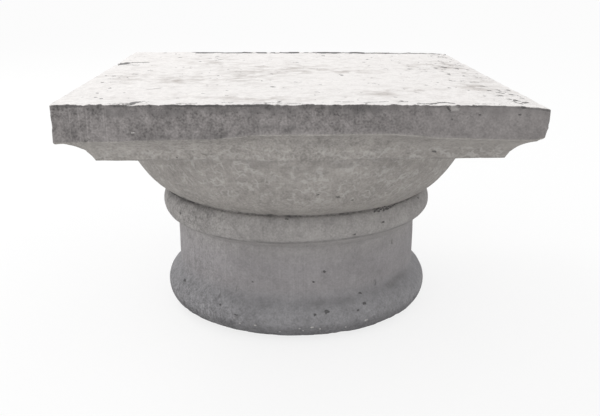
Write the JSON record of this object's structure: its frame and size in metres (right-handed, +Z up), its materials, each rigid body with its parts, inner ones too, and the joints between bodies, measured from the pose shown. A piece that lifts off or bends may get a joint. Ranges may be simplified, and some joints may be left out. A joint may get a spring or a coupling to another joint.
{
  "type": "cast stone column capital",
  "caption": "Cast stone column capital: a square abacus with a plain fascia and cavetto on a round echinus, bead, neck and foot astragal.",
  "frame": {"origin": "centre of the round foot, on the surface it stands on", "axes": "+Z up the column axis to the abacus, -Y out of the front face of the square abacus, X along that face"},
  "size_m": [0.6, 0.6, 0.363],
  "materials": {
    "cast_stone": "matt cast concrete, grey mould faces with small bug holes and a paler trowelled top"
  },
  "bodies": {
    "root": {"column_capital": "cast_stone"}
  },
  "joints": []
}
